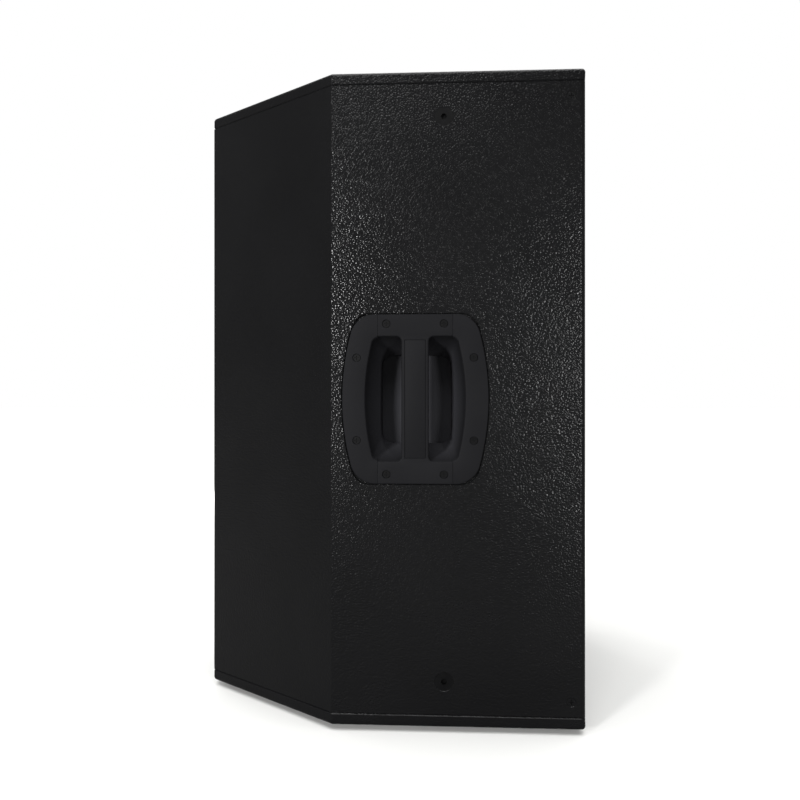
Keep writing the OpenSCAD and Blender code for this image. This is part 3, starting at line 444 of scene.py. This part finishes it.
def handleLoop(bm, half, bulge, corner, depth, keepFace=False):  # an outline whose long sides bulge
    made = bmesh.ops.create_grid(bm, x_segments=1, y_segments=1, size=1.0)
    for vert in made["verts"]:
        vert.co = (vert.co.x * (half[0] - bulge), vert.co.y * half[1], depth)
    bmesh.ops.bevel(bm, geom=made["verts"], offset=corner, offset_type="OFFSET", affect="VERTICES",
                    segments=handle["cornerSteps"], profile=0.5, material=-1, clamp_overlap=False)
    face = [f for f in bm.faces if len(f.verts) > 2 * handle["cornerSteps"]
            and all(abs(v.co.z - depth) < 1e-6 for v in f.verts)][-1]
    sides = [e for e in face.edges if abs(e.verts[0].co.y - e.verts[1].co.y) > half[1]]
    bmesh.ops.bisect_edges(bm, edges=sides, cuts=handle["sideCuts"], edge_percents={})
    for vert in face.verts:
        share = vert.co.x / (half[0] - bulge)
        vert.co.x += share * bulge * (1 - (vert.co.y / half[1]) ** 2)
    edges = list(face.edges)
    if not keepFace:
        bmesh.ops.delete(bm, geom=[face], context="FACES_ONLY")
    return edges


def buildDish(side, name, node):
    bm = bmesh.new()
    flange, mouth, floor = handle["flangeHalf"], handle["mouthHalf"], handle["floorHalf"]
    wall = handle["wall"]
    loops = [
        handleLoop(bm, (floor[0] + wall, floor[1] + wall), 0, handle["floorCorner"] + wall,
                   -handle["deep"] - wall, keepFace=True),
        handleLoop(bm, (mouth[0] + wall, mouth[1] + wall), handle["mouthBulge"], handle["mouthCorner"] + wall,
                   -handle["flangeThick"] - hair),
        handleLoop(bm, flange, handle["flangeBulge"], handle["flangeCorner"], -handle["flangeThick"]),
        handleLoop(bm, flange, handle["flangeBulge"], handle["flangeCorner"], 0.0),
        handleLoop(bm, mouth, handle["mouthBulge"], handle["mouthCorner"], -hair / 10),
        handleLoop(bm, floor, 0, handle["floorCorner"], -handle["deep"], keepFace=True),
    ]
    for first, second in zip(loops, loops[1:]):
        bmesh.ops.bridge_loops(bm, edges=first + second)
    bevelEdges(bm, loops[5], handle["floorRound"], 5)
    bevelEdges(bm, [e for e in loops[4] if e.is_valid], handle["mouthRound"])
    bevelEdges(bm, [e for e in loops[3] if e.is_valid], handle["outerRound"])
    for edgeAt in (-handle["tabHalf"], handle["tabHalf"]):  # the seats that the bar's ends lie in
        for shift in (-handle["seatWall"], handle["seatWall"]):
            bmesh.ops.bisect_plane(bm, geom=wholeShape(bm), dist=1e-5, plane_co=(edgeAt + shift, 0, 0),
                                   plane_no=(1, 0, 0))
    for vert in bm.verts:
        if (abs(vert.co.x) < handle["tabHalf"] and vert.co.z > handle["seatTop"]
                and abs(vert.co.y) > mouth[1] - handle["seatStart"]):
            vert.co.z -= handle["tabThick"] + handle["seatGap"]
    dish = finishPiece(name, bm, "handle_plastic", replaced=[node])
    cutScrewSeats(dish, [place for place in handle["screwsAt"] if place[0] > handle["tabHalf"]])
    finishHandlePiece(dish, side)


def cutScrewSeats(piece, places):  # a stepped hole at each place and its mirrors, one cut for each step
    top = 1.0  # above the face, so that each hole is open
    for radius, bottom in handle["screwSeats"]:
        cutter = bmesh.new()
        for x, y in [(a * x, b * y) for x, y in places for a in (-1, 1) for b in (-1, 1)]:
            bmesh.ops.create_cone(cutter, segments=40, radius1=radius, radius2=radius, depth=top - bottom,
                                  cap_ends=True, matrix=Matrix.Translation((x, y, (top + bottom) / 2)))
        cutAway(piece, cutter)


def inFace(edge):  # whether an edge lies in the plane of the panel's face
    return all(abs(v.co.z) < 1e-4 for v in edge.verts)


def buildBar(side, name, node):
    bm = bmesh.new()
    tab, bar, top = handle["tabHalf"] - handle["gap"], handle["barHalf"], handle["flangeHalf"][1]
    inner = handle["mouthHalf"][1] + handle["gap"]
    half = [(tab, top), (tab, inner), (bar, inner)]
    outline = (half + [(x, -y) for x, y in half[::-1]]
               + [(-x, -y) for x, y in half] + [(-x, y) for x, y in half[::-1]])
    face = bm.faces.new([bm.verts.new((x, y, 0)) for x, y in outline])
    fillets = [v for v in face.verts if abs(abs(v.co.x) - bar) < hair]
    bmesh.ops.bevel(bm, geom=fillets, offset=handle["fillet"], offset_type="OFFSET", affect="VERTICES",
                    segments=7, profile=0.5, material=-1)
    base = bmesh.ops.extrude_face_region(bm, geom=bm.faces[:])
    bmesh.ops.translate(bm, vec=(0, 0, -handle["tabThick"]), verts=vertsIn(base))
    under = -handle["tabThick"] / 2  # parts the vertices of the underside from those of the face
    cutAt = inner - handle["fillet"] - handle["filletClear"]
    for end in (-cutAt, cutAt):
        low = [f for f in bm.faces if all(v.co.z < under for v in f.verts)]
        geom = low + [e for f in low for e in f.edges] + [v for f in low for v in f.verts]
        bmesh.ops.bisect_plane(bm, geom=list(dict.fromkeys(geom)), dist=1e-5, plane_co=(0, end, 0),
                               plane_no=(0, 1, 0))
    grip = [f for f in bm.faces if all(v.co.z < under and abs(v.co.y) < cutAt + hair for v in f.verts)]
    pulled = bmesh.ops.extrude_face_region(bm, geom=grip)
    bmesh.ops.delete(bm, geom=grip, context="FACES")
    back = vertsIn(pulled)
    thinner, shorter = handle["barBackHalf"] / bar, 1 - handle["barEndShort"] / cutAt / 2
    for vert in back:
        vert.co = (vert.co.x * thinner, vert.co.y * shorter, -handle["barDeep"])
    grips = [e for e in bm.edges if all(v in back for v in e.verts) and e.is_manifold
             and abs(e.verts[0].co.x - e.verts[1].co.x) < hair]
    bevelEdges(bm, grips, handle["gripRound"], 4)
    slotSides = [e for e in bm.edges if inFace(e) and all(abs(v.co.y) < inner + hair for v in e.verts)
                 and len(e.link_faces) == 2 and e.calc_face_angle(0) > 1]
    bevelEdges(bm, slotSides, handle["barRound"])
    outerEnds = [e for e in bm.edges if inFace(e) and all(abs(v.co.y) > top - hair for v in e.verts)]
    bevelEdges(bm, outerEnds, handle["outerRound"])
    partings = [e for e in bm.edges if inFace(e) and all(abs(abs(v.co.x) - tab) < hair for v in e.verts)]
    bevelEdges(bm, partings, handle["partingRound"], 2)
    piece = finishPiece(name, bm, "handle_plastic", replaced=[node])
    cutScrewSeats(piece, [place for place in handle["screwsAt"] if place[0] < handle["tabHalf"]])
    pocket = bmesh.new()
    wide, high = [size + handle["pocketGap"] for size in handle["insertHalf"]]
    addBox(pocket, (-wide, -high, handle["pocketBottom"]), (wide, high, 1))
    cutAway(piece, pocket)
    finishHandlePiece(piece, side)


def buildInsert(side, name, node):  # the plain soft strip let into the bar's face
    bm = bmesh.new()
    wide, high = handle["insertHalf"]
    addBox(bm, (-wide, -high, handle["insertBottom"]), (wide, high, handle["insertTop"]),
           handle["insertRound"])
    finishHandlePiece(finishPiece(name, bm, "handle_plastic", replaced=[node]), side)


def finishHandlePiece(piece, side):  # turns it from the handle's own axes into its side panel
    piece.data.transform(Matrix(((0, 0, side * mm, side * faceX), (side * mm, 0, 0, handleY),
                                 (0, mm, 0, handleZ), (0, 0, 0, 1))))
    piece.data.shade_smooth()
    piece.data.set_sharp_from_angle(angle=radians(handle["smoothAngle"]))


for side, word in ((-1, "left"), (1, "right")):
    buildDish(side, word + "HandleDish", word + "_handle_dish")
    buildBar(side, word + "HandleBar", word + "_handle_bar")
    buildInsert(side, word + "HandleInsert", word + "_handle_insert")
print("handles built")


grille = {  # honeycomb holes inside a plain border that is folded back round its outside, in mm
    "pitch": 9.0, "web": 1.6, "border": 18, "sheet": 1.5, "rimSheet": 1.35, "foldRound": 1.0,
}


def buildGrille():
    low, high = grilleLow / mm, grilleHigh / mm
    place = Matrix(((mm, 0, 0, 0), (0, 0, mm, low.y * mm), (0, mm, 0, 0), (0, 0, 0, 1)))
    buildGrilleSheet(low, high, place)
    buildGrilleRim(low, high, place)


def buildGrilleSheet(low, high, place):
    cell = grille["pitch"] / sqrt(3)  # centre to corner
    across, up = grille["pitch"], grille["pitch"] * sqrt(3) / 2
    innerLow = (low.x + grille["border"], low.z + grille["border"])
    innerHigh = (high.x - grille["border"], high.z - grille["border"])
    spare = 3  # cells more than fit, so that the cut edges fall inside them
    bm = bmesh.new()
    made = bmesh.ops.create_circle(bm, cap_ends=True, segments=6, radius=cell)
    bmesh.ops.rotate(bm, verts=made["verts"], cent=(0, 0, 0), matrix=Matrix.Rotation(radians(30), 3, "Z"))
    bmesh.ops.inset_individual(bm, faces=bm.faces[:], thickness=grille["web"] / 2, use_even_offset=True)
    bmesh.ops.delete(bm, geom=[f for f in bm.faces if len(f.verts) == 6], context="FACES_ONLY")
    repeatShape(bm, (across, 0, 0), int((innerHigh[0] - innerLow[0]) / across) + spare)
    second = bmesh.ops.duplicate(bm, geom=wholeShape(bm))
    bmesh.ops.translate(bm, vec=(across / 2, up, 0), verts=vertsIn(second))
    repeatShape(bm, (0, 2 * up, 0), int((innerHigh[1] - innerLow[1]) / (2 * up)) + spare)
    bmesh.ops.remove_doubles(bm, verts=bm.verts[:], dist=0.02)
    bmesh.ops.translate(bm, vec=(innerLow[0] - across, innerLow[1] - up, 0), verts=bm.verts[:])
    for point, direction in (((innerLow[0], 0, 0), (-1, 0, 0)), ((innerHigh[0], 0, 0), (1, 0, 0)),
                             ((0, innerLow[1], 0), (0, -1, 0)), ((0, innerHigh[1], 0), (0, 1, 0))):
        bmesh.ops.bisect_plane(bm, geom=wholeShape(bm), dist=1e-4, plane_co=point, plane_no=direction,
                               clear_outer=True)
    bmesh.ops.solidify(bm, geom=bm.faces[:], thickness=grille["sheet"])
    bmesh.ops.translate(bm, vec=(0, 0, -min(v.co.z for v in bm.verts)), verts=bm.verts[:])
    finishPiece("grilleSheet", bm, "grille_steel", replaced=["grille"], place=place)


def buildGrilleRim(low, high, place):
    bm = bmesh.new()
    made = bmesh.ops.create_grid(bm, x_segments=1, y_segments=1, size=0.5)
    wide, tall, middle = high.x - low.x, high.z - low.z, (high.z + low.z) / 2
    for vert in made["verts"]:
        vert.co = (vert.co.x * wide, vert.co.y * tall + middle, 0)
    bmesh.ops.inset_region(bm, faces=bm.faces[:], thickness=grille["border"], use_even_offset=True)
    centre = [f for f in bm.faces if all(abs(v.co.x) < wide / 2 - 1 for v in f.verts)]
    bmesh.ops.delete(bm, geom=centre, context="FACES_ONLY")
    rim = [e for e in bm.edges if all(abs(abs(v.co.x) - wide / 2) < hair for v in e.verts)
           or all(abs(abs(v.co.y - middle) - tall / 2) < hair for v in e.verts)]
    folded = bmesh.ops.extrude_edge_only(bm, edges=rim)
    bmesh.ops.translate(bm, vec=(0, 0, high.y - low.y), verts=vertsIn(folded))
    fold = [e for e in bm.edges if len(e.link_faces) == 2 and e.calc_face_angle(0) > 1]
    bevelEdges(bm, fold, grille["foldRound"])
    bmesh.ops.recalc_face_normals(bm, faces=bm.faces[:])
    if sum(f.normal.z for f in bm.faces) > 0:
        bmesh.ops.reverse_faces(bm, faces=bm.faces[:])
    bmesh.ops.solidify(bm, geom=bm.faces[:], thickness=grille["rimSheet"])
    finishPiece("grilleRim", bm, "grille_steel", replaced=["grille"], place=place)


def repeatShape(bm, step, count):  # doubles what is there until it has been repeated count times
    have = 1
    while have < count:
        more = bmesh.ops.duplicate(bm, geom=wholeShape(bm))
        bmesh.ops.translate(bm, vec=[s * have for s in step], verts=vertsIn(more))
        have *= 2


buildGrille()
print("grille built")


pads = {  # foam and wadding: the voxel and how far the surface sinks, both in mm, and how full each is
    "grille_foam": (1.7, 0.25, 0.8),
    "top_wadding": (5.0, 2.2, 0.5),
    "left_wadding": (5.0, 2.2, 0.5),
    "right_wadding": (5.0, 2.2, 0.5),
}
padLumps = ((38, 0.6), (110, 0.4))  # lumps to the metre, and their share of the sinking


def buildPad(node, voxel, sink):
    bm = bmesh.new()
    bm.from_mesh(nodes[node].data)
    bmesh.ops.remove_doubles(bm, verts=bm.verts[:], dist=1e-5)
    slotName = "open_foam" if node == "grille_foam" else "wadding"
    name = node.replace("_", " ").title().replace(" ", "") + "Pad"
    piece = finishPiece(name, bm, slotName, smoothAngle=180)
    remesh = piece.modifiers.new("remesh", "REMESH")
    remesh.mode, remesh.voxel_size = "VOXEL", voxel * mm
    takeShape(piece)
    bm = bmesh.new()
    bm.from_mesh(piece.data)
    for smoothing in range(3):
        bmesh.ops.smooth_vert(bm, verts=bm.verts[:], factor=0.5, use_axis_x=True, use_axis_y=True,
                              use_axis_z=True)
    bm.normal_update()
    for vert in bm.verts:  # fibres lie unevenly, so the surface sinks in places
        lumps = sum(noise.noise(vert.co * rate) * share for rate, share in padLumps)
        vert.co -= vert.normal * (0.5 + 0.5 * lumps) * sink * mm
    bm.to_mesh(piece.data)
    bm.free()
    piece.data.shade_smooth()
    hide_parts(node)


for node, (voxel, sink, fill) in pads.items():
    buildPad(node, voxel, sink)
print("pads built")


basketLow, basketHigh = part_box("woofer_basket")
hub = Vector((0, basketLow.y, (basketLow.z + basketHigh.z) / 2))  # the middle of the flange's front
sectors = 12
# The surround and the spider bend between the cone and the basket. Each line is the middle of the cloth,
# as radius and distance back from the flange's front in mm, and it bends between two radii.
rolls = {
    "woofer_surround": {
        "slot": "treated_cloth", "thick": 0.9, "bends": (153, 164),
        "line": [(146.2, 2.5), (153.3, 2.5), (153.5, 0.3), (154.1, -2.2), (155.5, -4.6), (157.6, -6.1),
                 (160, -6.6), (162.4, -6.1), (164.5, -4.6), (165.9, -2.2), (166.5, -0.4), (180.3, -0.4)],
    },
    "woofer_spider": {
        "slot": "resin_cloth", "thick": 0.7, "bends": (42, 88),
        "line": [(38.6, 87), (41, 86.9), (44, 88.6), (48, 90.2), (52, 88.6), (56, 86.9), (60, 88.6),
                 (64, 90.2), (68, 88.6), (72, 86.9), (76, 88.6), (80, 90.2), (84, 88.6), (87, 87.2),
                 (91.6, 87)],
    },
}


def buildRoll(node, look):
    step = 2 * pi / sectors
    for index in range(sectors):
        bm = bmesh.new()
        verts = [bm.verts.new((radius, back, 0)) for radius, back in look["line"]]
        edges = [bm.edges.new(pair) for pair in zip(verts, verts[1:])]
        bmesh.ops.spin(bm, geom=verts + edges, cent=(0, 0, 0), axis=(0, 1, 0), angle=step, steps=6,
                       use_merge=False)
        bmesh.ops.recalc_face_normals(bm, faces=bm.faces[:])
        bmesh.ops.solidify(bm, geom=bm.faces[:], thickness=look["thick"])
        place = Matrix.Translation(hub) @ Matrix.Rotation(index * step, 4, "Y") @ Matrix.Scale(mm, 4)
        name = node.replace("woofer_", "") + "Sector%02d" % (index + 1)
        piece = finishPiece(name, bm, look["slot"], body=None, smoothAngle=60, place=place, replaced=[node])
        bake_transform(piece)


for node, look in rolls.items():
    buildRoll(node, look)
print("surround and spider built")


studio = {  # metres, degrees, and a lens in mm
    "cameraPlace": (-1.073, -0.068, 0.357), "cameraTurn": -86.87, "lens": 35.78, "sensor": 36,
    "floorSize": 60, "floorHex": "#f1f1ef", "floorPaleHex": "#f5f5f3", "floorRough": 0.95,
    "floorBounce": 0.2,  # the floor throws back less light than it shows, so the cabinet's foot stays dark
    "skyStrength": 0.18, "sunStrength": 3.1, "sunSpread": 75, "sunPlace": (0, 0, 4),
}
softboxes = {  # name: place, aim, width, height in metres, and watts
    "keySoftbox": ((-2.0, 1.05, 0.65), (-0.2, 0.03, 0.42), 0.28, 0.42, 34),
    "frontSoftbox": ((-1.95, -1.0, 0.45), (-0.2, -0.15, 0.33), 0.2, 0.3, 9),
    "topSoftbox": ((-2.0, 0.25, 2.25), (-0.2, 0.0, 0.36), 0.6, 0.6, 9),
    "farSoftbox": ((2.0, 0.9, 0.5), (0.2, 0.0, 0.42), 0.4, 0.5, 14),
    "rearSoftbox": ((1.6, 1.7, 0.5), (0.0, 0.2, 0.42), 0.4, 0.5, 12),
}


def buildStudio():
    bpy.ops.mesh.primitive_plane_add(size=studio["floorSize"], location=(0, 0, 0))
    floor = bpy.context.object
    floor.name = "floor"
    material, tree, shader, place = newMaterial(
        "paleFloor", **{"Roughness": studio["floorRough"], "Specular IOR Level": 0.0})
    cloud = addNode(tree, "ShaderNodeTexNoise", {"Scale": 2.0}, {"Vector": (place, "Object")})
    tone = addNode(tree, "ShaderNodeValToRGB", {
        "stops": [(0.0, studio["floorHex"]), (1.0, studio["floorPaleHex"])]}, {"Fac": (cloud, "Fac")})
    path = addNode(tree, "ShaderNodeLightPath")
    share = addNode(tree, "ShaderNodeMapRange", {"To Min": studio["floorBounce"], "To Max": 1.0},
                    {"Value": (path, "Is Camera Ray")})
    addNode(tree, "ShaderNodeVectorMath", {"operation": "SCALE"},
            {0: (tone, "Color"), "Scale": (share, "Result")}, {"Vector": (shader, "Base Color")})
    floor.data.materials.append(material)

    world = bpy.data.worlds.new("studioWorld")
    bpy.context.scene.world = world
    world.use_nodes = True
    tree = world.node_tree
    tree.nodes.clear()
    path = addNode(tree, "ShaderNodeLightPath")
    strength = addNode(tree, "ShaderNodeMapRange", {"To Min": studio["skyStrength"], "To Max": 1.0},
                       {"Value": (path, "Is Camera Ray")})
    background = addNode(tree, "ShaderNodeBackground", {"Color": (1, 1, 1, 1)},
                         {"Strength": (strength, "Result")})
    addNode(tree, "ShaderNodeOutputWorld", links={"Surface": (background, "Background")})

    sun = bpy.data.lights.new("overheadSun", "SUN")  # even light from straight above
    sun.energy, sun.angle = studio["sunStrength"], radians(studio["sunSpread"])
    addHolder("overheadSun", sun, studio["sunPlace"], (0, 0, 0))
    for name, (place, aim, width, height, watts) in softboxes.items():
        lamp = bpy.data.lights.new(name, "AREA")
        lamp.shape = "RECTANGLE"
        lamp.size, lamp.size_y, lamp.energy = width, height, watts
        addHolder(name, lamp, place, (Vector(aim) - Vector(place)).to_track_quat("-Z", "Y").to_euler())

    camera = bpy.data.cameras.new("camera")
    camera.lens = studio["lens"]
    camera.sensor_width = studio["sensor"]
    camera.clip_start = 0.02
    bpy.context.scene.camera = addHolder("camera", camera, studio["cameraPlace"],
                                         (radians(90), 0, radians(studio["cameraTurn"])))
    bpy.context.scene.view_settings.view_transform = "Standard"


def addHolder(name, data, place, turn):
    holder = bpy.data.objects.new(name, data)
    bpy.context.scene.collection.objects.link(holder)
    holder.location, holder.rotation_euler = place, turn
    return holder


buildStudio()
print("studio built")
